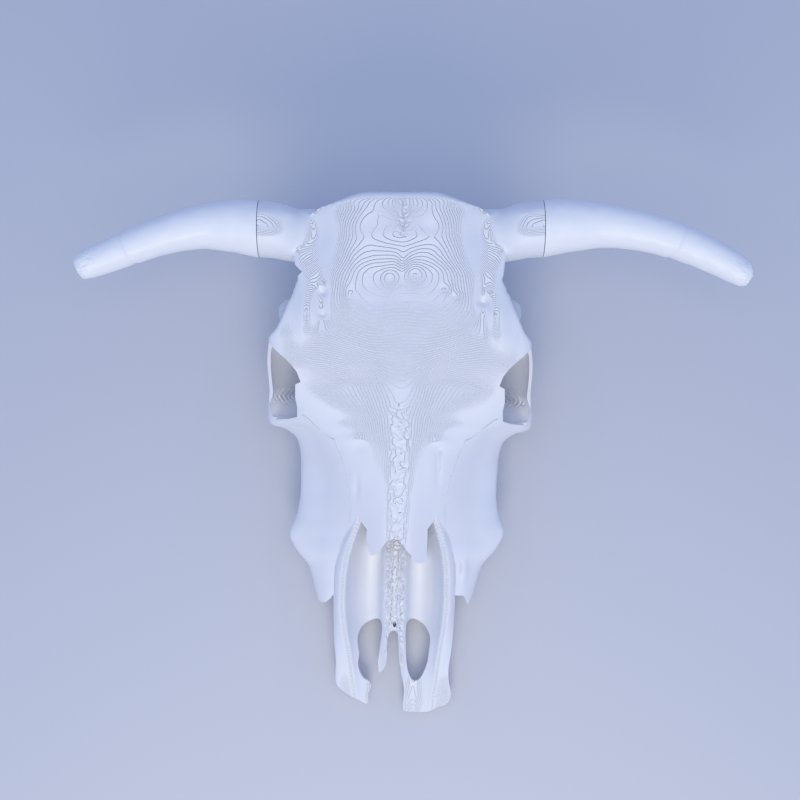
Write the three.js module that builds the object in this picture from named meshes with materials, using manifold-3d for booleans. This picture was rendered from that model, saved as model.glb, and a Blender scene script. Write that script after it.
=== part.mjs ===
// A small three-dimensional print of a bull's skull: the skull with its teeth is one solid, and each
// horn core is a piece of its own, glued to a stub on the skull. Lengths are in millimetres.
//
// The skull is drawn face up: x to its right, y from the nose to the poll, z out of the forehead,
// with zero on the midline between the eye sockets. At the end everything is tilted, so that the
// cheek teeth and the two spikes behind the ear region stand on the plane z = 0.

import * as THREE from 'three';
import { mergeVertices } from 'three/addons/utils/BufferGeometryUtils.js';
import Module from 'manifold-3d';

const wasm = await Module();
wasm.setup();

// Driving sizes.
const REST_TILT = THREE.MathUtils.degToRad(13); // from the face to the plane it rests on
const REST_DROP = 66.8; // from the middle of the face down to that plane, once tilted
const POLL_Y = 84.2;
const MUZZLE_Y = -86;
const NOSE_LEAN = 2.5; // how far the nose bends to the left
const SOCKET_SHIFT = 2.3; // how much nearer to the nose the right eye socket sits
const SEAM_GAP = 0.3; // glue gap between a horn core and its stub
const SMALLEST_EDGE = 0.05;
const SEAM_X = { left: -57.4, right: 58.2 };
const CENTRE_X = 5.59; // middle of the whole object in the face-up drawing, once laid down
const CENTRE_Y = -12.71;

// Smooth lines and sections -------------------------------------------------------------------

// A line through [position, value] knots that never swings past them.
function smoothLine(knots) {
  const steps = knots.slice(1).map((knot, i) => (knot[1] - knots[i][1]) / (knot[0] - knots[i][0]));
  const slopes = knots.map((_, i) => {
    const before = steps[i - 1] ?? steps[i];
    const after = steps[i] ?? steps[i - 1];
    return before * after > 0 ? (2 * before * after) / (before + after) : 0;
  });
  return (position) => {
    const last = knots.length - 2;
    let i = 0;
    while (i < last && position > knots[i + 1][0]) i += 1;
    const span = knots[i + 1][0] - knots[i][0];
    const t = THREE.MathUtils.clamp((position - knots[i][0]) / span, 0, 1);
    const rise = t * t * (3 - 2 * t);
    return (
      knots[i][1] * (1 - rise) +
      knots[i + 1][1] * rise +
      span * (slopes[i] * t * (1 - t) ** 2 - slopes[i + 1] * t * t * (1 - t))
    );
  };
}

// Smooth lines for every column of a table whose rows are [y, value, value, ...].
function smoothTable(rows) {
  const ordered = [...rows].sort((a, b) => a[0] - b[0]);
  const columns = ordered[0].slice(1).map((_, i) => smoothLine(ordered.map((row) => [row[0], row[i + 1]])));
  return (y) => columns.map((column) => column(y));
}

// Positions from the first row to the last, about `step` apart, that include every row.
function positionsAlong(rows, step) {
  const ys = rows.map((row) => row[0]).sort((a, b) => a - b);
  const positions = [ys[0]];
  for (let i = 1; i < ys.length; i += 1) {
    const parts = Math.ceil((ys[i] - ys[i - 1]) / step);
    for (let part = 1; part <= parts; part += 1) {
      positions.push(THREE.MathUtils.lerp(ys[i - 1], ys[i], part / parts));
    }
  }
  return positions;
}

// A closed ring at y through the right half's [x, z] points and their mirror images. The first
// and last point lie on the midline.
function mirroredRing(y, half, pointsPerSpan) {
  const right = half.map(([x, z]) => new THREE.Vector3(x, y, z));
  const left = half.slice(1, -1).reverse().map(([x, z]) => new THREE.Vector3(-x, y, z));
  const outline = new THREE.CatmullRomCurve3([...right, ...left], true, 'centripetal');
  const count = (right.length + left.length) * pointsPerSpan;
  return Array.from({ length: count }, (_, i) => outline.getPoint(i / count));
}

// Triangles [i, j, k] that fill a flat ring, running the same way round as the ring does.
function fill(ring) {
  const across = ring[0].clone().sub(ring[Math.round(ring.length / 2)]).normalize();
  const normal = new THREE.Vector3();
  ring.forEach((point, i) => normal.add(point.clone().cross(ring[(i + 1) % ring.length])));
  const up = normal.normalize().cross(across).normalize();
  const flat = ring.map((point) => new THREE.Vector2(point.dot(across), point.dot(up)));
  return THREE.ShapeUtils.triangulateShape(flat, []);
}

// A closed skin over flat rings of equally many points.
function loft(rings) {
  const size = rings[0].length;
  const end = (rings.length - 1) * size;
  const faces = [];
  for (let here = 0; here < end; here += size) {
    for (let i = 0; i < size; i += 1) {
      const next = (i + 1) % size;
      const there = here + size;
      faces.push(here + i, here + next, there + next, here + i, there + next, there + i);
    }
  }
  for (const [i, j, k] of fill(rings[0])) faces.push(i, k, j);
  for (const [i, j, k] of fill(rings.at(-1))) faces.push(end + i, end + j, end + k);
  const geometry = new THREE.BufferGeometry().setFromPoints(rings.flat());
  geometry.setIndex(faces);
  return geometry;
}

// A round bar through [x, y, z, radius] stations, `flatten` times as high as it is wide.
function bar(stations, ringCount, sides, flatten = 1) {
  const middle = new THREE.CatmullRomCurve3(stations.map(([x, y, z]) => new THREE.Vector3(x, y, z)));
  const last = stations.length - 1;
  const radius = smoothLine(stations.map((station, i) => [i / last, station[3]]));
  const rings = [];
  for (let ring = 0; ring <= ringCount; ring += 1) {
    const t = ring / ringCount;
    const centre = middle.getPoint(t);
    const along = middle.getTangent(t);
    const across = new THREE.Vector3(0, 0, 1).cross(along).normalize();
    const up = along.clone().cross(across);
    rings.push(
      Array.from({ length: sides }, (_, i) => {
        const angle = (2 * Math.PI * i) / sides;
        return centre
          .clone()
          .addScaledVector(across, radius(t) * Math.cos(angle))
          .addScaledVector(up, radius(t) * flatten * Math.sin(angle));
      }),
    );
  }
  return loft(rings);
}

// Solids, and joins and cuts between them -------------------------------------------------------

function solid(geometry) {
  const bare = geometry.index ? geometry : geometry.clone();
  bare.deleteAttribute('normal');
  bare.deleteAttribute('uv');
  const merged = mergeVertices(bare, 1e-4);
  const build = () => new wasm.Manifold(
    new wasm.Mesh({
      numProp: 3,
      tolerance: SMALLEST_EDGE,
      vertProperties: new Float32Array(merged.attributes.position.array),
      triVerts: new Uint32Array(merged.index.array),
    }),
  );
  const made = build();
  if (made.volume() > 0) return made;
  const order = merged.index.array;
  for (let i = 0; i < order.length; i += 3) [order[i], order[i + 1]] = [order[i + 1], order[i]];
  return build();
}

function ball([x, y, z], [width, length, height], detail = 10) {
  const geometry = new THREE.SphereGeometry(1, detail, Math.round(detail * 0.7));
  return solid(geometry.scale(width, length, height).translate(x, y, z));
}

// A plate with its outline drawn from above, from height `low` to height `high`.
function plate(outline, low, high, holes = []) {
  const shape = new THREE.Shape(outline.map(([x, y]) => new THREE.Vector2(x, y)));
  shape.holes = holes.map((hole) => new THREE.Path(hole.map(([x, y]) => new THREE.Vector2(x, y))));
  const geometry = new THREE.ExtrudeGeometry(shape, { depth: high - low, bevelEnabled: false });
  return solid(geometry.translate(0, 0, low));
}

const flip = (points) => points.map(([x, ...rest]) => [-x, ...rest]);
const joined = (parts) => parts.reduce((whole, part) => whole.add(part));
const bothSides = (make) => [1, -1].map((side) => make(side));

// Skull: the brain case, forehead and upper jaw ----------------------------------------------------

// Right half of each section: heights of the crown and floor on the midline, and [x, z] of the
// shoulder, the edge of the face, the hollow or cheek under it, the wall, its foot and the base.
const BODY_ROWS = [
  // y, crown, shoulder, edge, under, wall, foot, base, floor
  [POLL_Y, -3.2, 9, -3.3, 15, -5.5, 16.5, -8.5, 15.5, -12, 12, -15, 7, -16.4, -16.8],
  [82.2, -1.4, 11, -1.6, 20.5, -4.2, 21.4, -9, 20.5, -18, 18, -25, 11, -28, -29],
  [79.8, 0, 13, -0.8, 26, -4.2, 27.2, -10, 27, -26, 27, -42, 16, -52, -54],
  [77.4, 0.2, 14, -0.7, 33, -6.8, 33.6, -11.5, 30, -27, 32, -47, 17, -60, -62],
  [74.5, -0.3, 16, -1, 37, -7.6, 35.5, -12.5, 31, -28, 33, -48, 18, -62, -65],
  [68, -1.4, 19, -1.6, 38.5, -7.8, 36, -13, 28, -26, 31, -47, 15, -63, -66],
  [58, -0.9, 19, -1.3, 43.2, -7.8, 36, -12.5, 25, -24, 27, -44, 11, -61, -64],
  [50, -0.2, 20, -1, 41.8, -6.8, 37, -11.5, 24, -23, 25, -42, 10, -58, -61],
  [40, -0.6, 21, -1.2, 45.4, -6.6, 40, -11.5, 24, -23, 24, -40, 10, -54, -58],
  [29.5, -2, 22, -2.4, 50.2, -7.2, 44, -12.5, 26, -23, 23, -39, 11, -50, -54],
  [25.5, -2.5, 22, -3, 52.6, -8.2, 53.7, -18, 54.6, -35, 46, -48, 14, -52, -54],
  [16, -3.8, 19, -4.9, 52.5, -9.6, 54.4, -20, 55.6, -35, 46, -51, 16, -53, -53.5],
  [5, -5, 16, -6.9, 46, -11.8, 53, -22, 54.8, -35.5, 46, -51.5, 19, -53.5, -53],
  [-3.2, -5.3, 12, -6.8, 39, -13, 50, -24, 56.4, -36.5, 45, -50.5, 22, -53.5, -52],
  [-8.6, -5.5, 9, -6.6, 34, -14, 47, -25, 56, -37, 43, -49, 24, -53, -51],
  [-10.8, -5.5, 8.2, -6.5, 32, -13.7, 43, -25, 54.6, -37.4, 40.5, -48, 25, -53.2, -50.7],
  [-12, -5.5, 7.6, -6.4, 30, -13.5, 40, -24.5, 49.4, -37.5, 39, -47.5, 26, -53.5, -50.5],
  [-16.5, -5.5, 6.5, -6.3, 25.5, -13.3, 36, -25, 43.9, -38, 37.5, -48, 28, -53.5, -49.5],
  [-25, -5.6, 5.6, -6.3, 21, -13.3, 33, -26, 42.2, -38, 36.5, -47.5, 29, -52, -47.5],
  [-40, -5.8, 5.2, -6.5, 17.5, -14.2, 31, -27, 41.9, -37.5, 36, -45.5, 28.5, -49, -44],
  [-48, -6, 5.1, -6.7, 16.5, -15, 31, -27, 43, -36.5, 36, -44, 27.5, -47.5, -42],
  [-56.2, -6.4, 5, -7.1, 16, -16.2, 31.5, -26.5, 45.8, -35, 35, -42.5, 26.5, -46, -40.5],
  [-63, -7, 4.6, -7.7, 15.8, -17, 31.5, -25.5, 42.8, -34.5, 34, -41.5, 25.5, -44.5, -39],
  [-69.8, -8.5, 5, -9.2, 16, -18.2, 30, -25.5, 37, -34, 32, -40.5, 24.5, -43.3, -38],
  [-76, -10.6, 6, -11.2, 18, -20, 29.5, -26.5, 34.9, -34, 31, -39.8, 23.8, -42, -37],
  [MUZZLE_Y, -15, 8, -15.5, 20, -24, 29.5, -29, 32.6, -34.5, 30, -39, 22.5, -40.8, -35.5],
];
const BODY_STEP = 6;
const bodyAt = smoothTable(BODY_ROWS);

function bodyRing(y) {
  const [crown, ...rest] = bodyAt(y);
  const pairs = [0, 2, 4, 6, 8, 10].map((i) => [rest[i], rest[i + 1]]);
  return mirroredRing(y, [[0, crown], ...pairs, [0, rest[12]]], 2);
}

const body = solid(loft(positionsAlong(BODY_ROWS, BODY_STEP).map(bodyRing)));

// Eye sockets: the notch in the face's edge, as seen from above, and the hollow under it. The hollow
// is widest at the height of its lower rim, drawn in towards its roof and its floor, and shallower
// towards the nose.
const SOCKET_NOTCH = [
  [54.5, 24.6], [50.1, 19.9], [46.8, 17.1], [44, 14.2], [41.9, 11.4], [40.4, 7.3], [42.6, 6.4],
  [42.9, 1], [42.2, -3], [42.6, -7], [46, -7.8], [52, -8.3], [70, -8.6], [70, 24.6],
];
const SOCKET_HOLLOW = [
  [53.6, 22.6], [54.5, 15], [53.9, 7], [53.6, 3], [54.9, -2], [54.3, -6.6], [49.5, -7.4],
  [44, -7], [37, -8], [28, -6], [18, 0], [14, 8], [18, 16], [28, 21], [38, 22.5], [48, 23.6],
];
const SOCKET_MIDDLE = [36, 11];
const SOCKET_RIM_Z = -30.6;
const SOCKET_SHALLOWING = 0.5;
const SOCKET_LEVELS = [
  // z, share of the widest outline
  [-47.5, 0.12], [-45.5, 0.4], [-42, 0.64], [-37, 0.86], [SOCKET_RIM_Z, 1], [-21, 0.85], [-15.5, 0.55], [-13, 0.2],
];

function socket(side) {
  const outline = side > 0 ? SOCKET_NOTCH : flip(SOCKET_NOTCH).reverse();
  const [middleX, middleY] = SOCKET_MIDDLE;
  const rings = SOCKET_LEVELS.map(([z, share]) =>
    SOCKET_HOLLOW.map(([outlineX, outlineY]) => {
      const x = THREE.MathUtils.lerp(middleX, outlineX, share);
      const y = THREE.MathUtils.lerp(middleY, outlineY, share);
      const rise = SOCKET_SHALLOWING * THREE.MathUtils.smoothstep(-y, -8, 4);
      return new THREE.Vector3(side * x, y, z + Math.max(0, SOCKET_RIM_Z - z) * rise);
    }),
  );
  return plate(outline, SOCKET_RIM_Z, 8).add(solid(loft(rings)));
}

// Cheekbones: from the socket's lower rim back to the wall of the brain case.
function cheekbone(side) {
  return solid(
    bar(
      [
        [side * 50.6, 12, -38.5, 4.2],
        [side * 49.4, 24, -39, 3.5],
        [side * 47.2, 31, -41, 2.7],
        [side * 49.4, 36.8, -42.5, 3],
        [side * 48.6, 39.6, -43, 3.1],
        [side * 42, 42.6, -44.5, 3.1],
        [side * 25, 51, -47, 5],
      ],
      10,
      8,
      1.2,
    ),
  );
}

// Stubs that carry the horn cores. Each ends in a flat face for the glue.
function hornStub(side) {
  const seam = side > 0 ? SEAM_X.right : SEAM_X.left;
  return solid(
    bar(
      [
        [side * 18, 65, -15, 12.5],
        [side * 34, 67.1, -16.6, 11.5],
        [side * 44, 67.7, -15.3, 10.8],
        [side * 47.5, 68.5, -14, 11.1],
        [side * 51.5, 69.4, -12.8, 11.4],
        [seam, 70, -12.5, 11.6],
      ],
      8,
      18,
    ),
  );
}

// Back of the skull: joint knobs beside the spinal opening, spikes behind the ears, ear capsules.
const BACK_Y = 74;
const knobs = bothSides((side) => ball([side * 8.6, BACK_Y + 1.5, -66], [6.2, 7, 9]));
const capsules = bothSides((side) => ball([side * 19, 53, -61], [5.5, 9, 8]));
const spikes = bothSides((side) =>
  solid(bar([[side * 25, 68, -50, 6], [side * 24.5, 66.5, -68, 5], [side * 22, 64, -88, 2.6]], 6, 8)),
);
const spinalOpening = ball([0, BACK_Y + 6, -59.5], [7, 16, 6.2], 14);
const wingsOfPalate = bothSides((side) =>
  solid(bar([[side * 14, 22, -50, 4], [side * 13.5, 4, -56.5, 4], [side * 17, -14, -52, 5]], 8, 8, 1.4)),
);
const rearNostrils = ball([0, 2, -55], [8.5, 17, 8], 12);

// Cheek teeth: six in each row, growing towards the back, cut level where they stand.
const TOOTH_LENGTHS = [7.2, 8.4, 9, 11, 12.2, 13];
const TOOTH_ROW = { frontY: -80.5, frontX: 25.4, backX: 29.2, tilt: 0.06 };
const TOOTH_ROOT_Z = -41;
const TOOTH_TIP_Z = -70;
const TOOTH_GAP = 0.35;

function tooth(side, middleX, middleY, width, length) {
  const shape = new THREE.Shape();
  const corner = width * 0.36;
  const [w, l] = [width / 2, length / 2];
  shape.moveTo(-w + corner, -l);
  shape.lineTo(w - corner, -l);
  shape.quadraticCurveTo(w, -l, w, -l + corner);
  shape.quadraticCurveTo(w * 0.72, 0, w, l - corner);
  shape.quadraticCurveTo(w, l, w - corner, l);
  shape.lineTo(-w + corner, l);
  shape.quadraticCurveTo(-w, l, -w, l - corner);
  shape.lineTo(-w, -l + corner);
  shape.quadraticCurveTo(-w, -l, -w + corner, -l);
  const depth = TOOTH_ROOT_Z - TOOTH_TIP_Z;
  const geometry = new THREE.ExtrudeGeometry(shape, { depth, bevelEnabled: false, curveSegments: 2 });
  geometry.scale(side, 1, 1);
  return solid(geometry.rotateZ(-side * TOOTH_ROW.tilt).translate(side * middleX, middleY, TOOTH_TIP_Z));
}

function toothRow(side) {
  const rowLength = TOOTH_LENGTHS.reduce((sum, length) => sum + length, 0);
  const teeth = [];
  let travelled = 0;
  for (const length of TOOTH_LENGTHS) {
    const share = (travelled + length / 2) / rowLength;
    const x = THREE.MathUtils.lerp(TOOTH_ROW.frontX, TOOTH_ROW.backX, share);
    const width = THREE.MathUtils.lerp(6.6, 9.4, share);
    const y = TOOTH_ROW.frontY + travelled + length / 2;
    teeth.push(tooth(side, x, y, width, length - TOOTH_GAP));
    travelled += length;
  }
  return joined(teeth);
}

// Skull: the nose ----------------------------------------------------------------------------------

// The opening of the nose from above: along the jaws' edges and round the two nasal bones' tips.
const NASAL_RIGHT = [
  [16.4, -47.6], [12.6, -52.8], [12.7, -66.4], [11, -66.9], [6.9, -66.4], [6.6, -63.6],
  [4.3, -61], [2.1, -58.2], [1.1, -56.5],
];
const NASAL_LEFT = [
  [-0.9, -56.3], [-4, -57.3], [-6.5, -61], [-8.2, -62.7], [-10, -63.7], [-11.5, -61.6],
  [-12.3, -57], [-12.4, -52.8], [-16.4, -47.6],
];
const JAW_EDGE = [[19.4, -54], [22.1, -59.2], [23.9, -63.8], [25, -68.8], [25.3, -74.6], [25.3, -100]];
const noseOpening = plate(
  [...flip(JAW_EDGE), ...[...JAW_EDGE].reverse(), ...NASAL_RIGHT, ...NASAL_LEFT],
  -39.5,
  8,
);

// The hollow under the nasal bones: half width, height of its middle and half height along y.
const hollowAt = smoothTable([
  [-34, 5, -23, 4],
  [-42, 9.5, -23.5, 7.5],
  [-56, 12, -24, 10.5],
  [-90, 18, -26, 12],
]);
const noseHollow = solid(
  loft(
    [-90, -78, -66, -56, -50, -45, -40, -37, -34].map((y) => {
      const [width, middle, height] = hollowAt(y);
      return Array.from({ length: 20 }, (_, i) => {
        const angle = (2 * Math.PI * i) / 20;
        return new THREE.Vector3(width * Math.cos(angle), y, middle + height * Math.sin(angle));
      });
    }),
  ),
);

// The front bones: a trough with a raised crest along each side and two lips on the midline.
const NOSE_ROWS = [
  // y, channel, lip, trough, crest x, crest, outer x, bottom
  [-40, -31, -30.4, -34, 13.5, -15.2, 17, -40],
  [-52, -30.6, -29.6, -34.4, 16.8, -16.4, 21.5, -40],
  [-60, -29.8, -28.4, -36.5, 19.4, -17.4, 25, -42],
  [-66, -29.2, -27.8, -38, 20.8, -18.6, 26.6, -43.5],
  [-74, -29.2, -27.8, -38.6, 21.7, -20.4, 27.2, -44],
  [-84, -29.6, -28.3, -38, 22, -22.4, 26.8, -43.4],
  [-94, -30.6, -29.6, -36.4, 21.3, -24.6, 26, -41],
  [-104, -31, -30.2, -34, 19.8, -26.7, 25.4, -37.5],
  [-112, -31.5, -30.6, -33, 18.6, -28.2, 24.9, -36.5],
  [-120, -31.5, -31, -31.8, 17.6, -29.6, 24.8, -35.8],
  [-127, -32, -31.6, -31.8, 16, -30.6, 24.8, -35.4],
  [-133, -33, -32.8, -32.6, 15, -31.8, 24.6, -35.2],
];
const LIP_X = 2.9;
const noseAt = smoothTable(NOSE_ROWS);

function noseRing(y) {
  const [channel, lip, trough, crestX, crest, outerX, bottom] = noseAt(y);
  const half = [
    [0, channel],
    [LIP_X, lip],
    [crestX * 0.48, trough],
    [crestX * 0.8, (trough + crest) / 2],
    [crestX, crest],
    [outerX, THREE.MathUtils.lerp(crest, bottom, 0.35)],
    [outerX - 0.6, bottom + 1.5],
    [outerX * 0.8, bottom],
    [0, bottom + 1],
  ];
  return mirroredRing(y, half, 2);
}

// Outline from above. The right slot is closed, the left one has lost its front and inner bar.
const NOSE_OUTLINE = [
  [-17, -40], [-24, -50], [-26.6, -58], [-26.6, -78], [-25.7, -81], [-25.3, -102],
  [-24.5, -110], [-24.5, -119.7],
  [-19.4, -124.3], [-15, -126.6], [-11.8, -128.5], [-10.9, -127.9], [-11, -124.7], [-9.7, -121],
  [-10.6, -119], [-13.1, -117.4], [-15.2, -112.1], [-14.8, -107.4], [-15.5, -101.5], [-14.6, -97.6],
  [-13, -95.5], [-11, -94.3], [-7.6, -93], [-6, -93.1], [-5.2, -95.6], [-6, -104.4], [-6.8, -113.2],
  [-6.3, -115.3], [-5.4, -114.9], [-3.6, -112.1], [-3, -107.4], [-2.7, -100.8], [-1.7, -98.1],
  [0, -97.3], [1.2, -98.1], [1.8, -101.5], [2.1, -109.9], [3.3, -116.7], [4.2, -122.6],
  [3.7, -129.6], [4.4, -131.9], [6.5, -132.4], [13.9, -131.9], [18.5, -129.8], [21.5, -129],
  [23.6, -126.6], [24, -124], [23.2, -119.7], [22.9, -113.8], [24, -105.8], [24.8, -99],
  [25.6, -81], [26.6, -78], [26.6, -58], [24, -50], [17, -40],
];
const RIGHT_SLOT = [
  [7.6, -93], [5.6, -94], [5, -96.4], [5, -105.7], [5.5, -113], [6.7, -117], [8.4, -118.8],
  [10, -118.6], [11.6, -116.9], [13.9, -111.6], [14.8, -105.7], [15.2, -100.2], [13.5, -96.4],
  [11, -94.3],
];
const PIN_HOLE = Array.from({ length: 8 }, (_, i) => [
  0.2 - 0.7 * Math.sin((Math.PI * i) / 4),
  -94.7 + 1.3 * Math.cos((Math.PI * i) / 4),
]);
const nose = solid(loft(positionsAlong(NOSE_ROWS, 8).map(noseRing)))
  .intersect(plate(NOSE_OUTLINE, -50, 0, [RIGHT_SLOT, PIN_HOLE]));

// Assembly -------------------------------------------------------------------------------------------

function geometryOf(shape) {
  const { vertProperties, triVerts } = shape.getMesh();
  const geometry = new THREE.BufferGeometry();
  geometry.setAttribute('position', new THREE.BufferAttribute(new Float32Array(vertProperties), 3));
  geometry.setIndex([...triVerts]);
  return geometry;
}

// Bends the nose to the left, shifts the right eye socket towards it, lays the drawing down in its
// resting pose and moves it to the origin.
function laidDown(shape) {
  const { smoothstep } = THREE.MathUtils;
  const geometry = geometryOf(shape);
  const positions = geometry.attributes.position;
  for (let i = 0; i < positions.count; i += 1) {
    const [x, y] = [positions.getX(i), positions.getY(i)];
    const besideSocket = smoothstep(x, 20, 50) * smoothstep(y, -45, -15) * smoothstep(-y, -34, -24);
    positions.setX(i, x - NOSE_LEAN * smoothstep(-y, 10, 95));
    positions.setY(i, y - SOCKET_SHIFT * besideSocket);
  }
  geometry.rotateX(REST_TILT);
  return solid(geometry.translate(-CENTRE_X, -CENTRE_Y, REST_DROP));
}

const underTable = plate([[-200, -200], [200, -200], [200, 200], [-200, 200]], -60, 0);

function makeSkull() {
  const head = joined([
    body,
    ...bothSides(cheekbone),
    ...bothSides(hornStub),
    ...knobs,
    ...capsules,
    ...spikes,
    ...wingsOfPalate,
  ]);
  const opened = bothSides(socket)
    .reduce((whole, cutter) => whole.subtract(cutter), head)
    .subtract(noseOpening)
    .subtract(noseHollow)
    .subtract(spinalOpening)
    .subtract(rearNostrils);
  return laidDown(joined([opened, nose, ...bothSides(toothRow)])).subtract(underTable);
}

// Horn cores: distance from the seam, then y, z and radius, out to the blunt, broken tip.
const HORN_RIGHT = [
  [0, 70.1, -12.5, 11.6],
  [10, 71.2, -12, 10.9],
  [21, 71.3, -11.2, 9.5],
  [31, 70.3, -10.2, 8.6],
  [42, 68, -8.9, 7.9],
  [52, 65, -7.6, 7.5],
  [62, 60.8, -6, 7],
  [72, 55.6, -4.4, 6.4],
  [80.4, 50.3, -3, 5.2],
  [82.6, 48.9, -2.7, 3.6],
];
const HORN_LEFT = [
  [0, 70, -12.5, 11.6],
  [10.5, 71.1, -12, 10.7],
  [20.5, 70.8, -11.2, 9.3],
  [30, 69.2, -10.2, 8.3],
  [39.5, 66.4, -8.9, 7.6],
  [49, 62.9, -7.6, 7.2],
  [58, 59, -6, 6.6],
  [66, 55.6, -4.5, 6.1],
  [71, 53.4, -3.6, 5],
  [72.6, 52.7, -3.3, 3.6],
];

function hornCore(side, stations) {
  const seam = side > 0 ? SEAM_X.right + SEAM_GAP : SEAM_X.left - SEAM_GAP;
  const placed = stations.map(([out, y, z, radius]) => [seam + side * out, y, z, radius]);
  const pastSeam = plate([[-10, 40], [0, 40], [0, 100], [-10, 100]], -40, 20);
  const trim = side > 0 ? pastSeam.translate([seam, 0, 0]) : pastSeam.translate([seam + 10, 0, 0]);
  return laidDown(solid(bar(placed, 16, 16)).subtract(trim));
}

const bull = new THREE.Group();
const shapes = {
  skull: makeSkull(),
  horn_left: hornCore(-1, HORN_LEFT),
  horn_right: hornCore(1, HORN_RIGHT),
};
for (const [name, shape] of Object.entries(shapes)) {
  const plastic = new THREE.MeshStandardMaterial({ color: 0xe9ebee, roughness: 0.5, metalness: 0 });
  const mesh = new THREE.Mesh(geometryOf(shape), plastic);
  mesh.name = name;
  bull.add(mesh);
}

export default bull;
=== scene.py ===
"""A small printed plastic model of a bull's skull, lying face up on its teeth.

The skull with its teeth is one print and each horn core is another, glued to a stub. Sizes are
drawn face up in millimetres: x to the right, y from the nose to the poll, z out of the forehead.
laid_down() turns such a drawing into metres in the resting pose.
"""
import math

import bmesh
import bpy
import numpy as np
from mathutils import Matrix, Vector, noise
from mathutils.bvhtree import BVHTree


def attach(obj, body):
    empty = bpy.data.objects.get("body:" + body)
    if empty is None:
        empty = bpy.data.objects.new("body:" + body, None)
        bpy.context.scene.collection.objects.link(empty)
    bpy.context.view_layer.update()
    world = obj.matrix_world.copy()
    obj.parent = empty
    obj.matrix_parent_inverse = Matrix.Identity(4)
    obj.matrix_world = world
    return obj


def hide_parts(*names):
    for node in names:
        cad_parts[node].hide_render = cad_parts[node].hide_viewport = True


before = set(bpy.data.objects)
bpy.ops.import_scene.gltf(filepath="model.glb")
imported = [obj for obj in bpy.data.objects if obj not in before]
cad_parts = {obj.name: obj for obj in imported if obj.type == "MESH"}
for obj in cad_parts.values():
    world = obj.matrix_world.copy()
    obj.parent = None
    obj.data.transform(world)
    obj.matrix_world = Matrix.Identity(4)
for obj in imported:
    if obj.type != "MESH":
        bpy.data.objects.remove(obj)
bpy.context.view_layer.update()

# ---------------------------------------------------------------------------------------------
# Brain case, forehead and upper jaw: one long form with a section for each place along y, whose
# right half is listed from the crown over the shoulder, the edge of the face, the hollow or
# cheek under it, the wall and its foot to the base. The left half is its mirror image.
# ---------------------------------------------------------------------------------------------
BODY_ROWS = [
    # y, crown, shoulder, edge, under, wall, foot, base, floor
    (84, -4.6, 9, -4.1, 15, -5.5, 16.5, -8.5, 15.5, -12, 12, -15, 7, -16.4, -16.8),
    (82.1, -3.1, 11, -2.8, 20.5, -4.2, 21.4, -9, 20.5, -18, 18, -25, 11, -28, -29),
    (79.8, -2.4, 13, -2.1, 26, -4.2, 27.2, -10, 27, -26, 27, -42, 16, -52, -54),
    (77.4, -2.2, 14, -2, 33, -6.8, 33.6, -11.5, 30, -27, 32, -47, 17, -60, -62),
    (74.5, -2.2, 16, -2, 37, -7.6, 35.5, -12.5, 31, -28, 33, -48, 18, -62, -65),
    (68, -2.2, 19, -2.2, 38.5, -7.8, 36, -13, 28, -26, 31, -47, 15, -63, -66),
    (58, -1.1, 19, -1.6, 43.2, -7.8, 36, -12.5, 25, -24, 27, -44, 11, -61, -64),
    (50, -0.2, 20, -1, 41.8, -6.8, 37, -11.5, 24, -23, 25, -42, 10, -58, -61),
    (40, -0.6, 21, -1.2, 45.4, -6.6, 40, -11.5, 24, -23, 24, -40, 10, -54, -58),
    (29.5, -2, 22, -2.4, 50.2, -7.2, 44, -12.5, 26, -23, 23, -39, 11, -50, -54),
    (25.5, -2.5, 22, -3, 52.6, -8.2, 53.7, -18, 54.6, -35, 46, -48, 14, -52, -54),
    (16, -3.8, 19, -4.9, 52.5, -9.6, 54.4, -20, 55.6, -35, 46, -51, 16, -53, -53.5),
    (5, -5, 16, -6.9, 46, -11.8, 53, -22, 54.8, -35.5, 46, -51.5, 19, -53.5, -53),
    (-3.2, -5.3, 12, -6.8, 39, -13, 50, -24, 56.4, -36.5, 45, -50.5, 22, -53.5, -52),
    (-8.6, -5.5, 9, -6.6, 34, -14, 47, -25, 56, -37, 43, -49, 24, -53, -51),
    (-10.8, -5.5, 8.2, -6.5, 32, -13.7, 43, -25, 54.6, -37.4, 40.5, -48, 25, -53.2, -50.7),
    (-12, -5.5, 7.6, -6.4, 30, -13.5, 40, -24.5, 49.4, -37.5, 39, -47.5, 26, -53.5, -50.5),
    (-16.5, -5.5, 6.5, -6.3, 25.5, -13.3, 36, -25, 43.9, -38, 37.5, -48, 28, -53.5, -49.5),
    (-25, -5.6, 5.6, -6.3, 21, -13.3, 33, -26, 42.2, -38, 36.5, -47.5, 29, -52, -47.5),
    (-40, -5.8, 5.2, -6.5, 17.5, -14.2, 31, -27, 41.9, -37.5, 36, -45.5, 28.5, -49, -44),
    (-48, -6, 5.1, -6.7, 16.5, -15, 31, -27, 43, -36.5, 36, -44, 27.5, -47.5, -42),
    (-56.2, -6.4, 5, -7.1, 16, -16.2, 31.5, -26.5, 45.8, -35, 35, -42.5, 26.5, -46, -40.5),
    (-63, -7, 4.6, -7.7, 15.8, -17, 31.5, -25.5, 42.8, -34.5, 34, -41.5, 25.5, -44.5, -39),
    (-69.8, -8.5, 5, -9.2, 16, -18.2, 30, -25.5, 37, -34, 32, -40.5, 24.5, -43.3, -38),
    (-76, -10.6, 6, -11.2, 18, -20, 29.5, -26.5, 34.9, -34, 31, -39.8, 23.8, -42, -37),
    (-86, -15, 8, -15.5, 20, -24, 29.5, -29, 32.6, -34.5, 30, -39, 22.5, -40.8, -35.5),
]
BODY_RINGS = 150
BODY_RING_POINTS = 112


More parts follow.
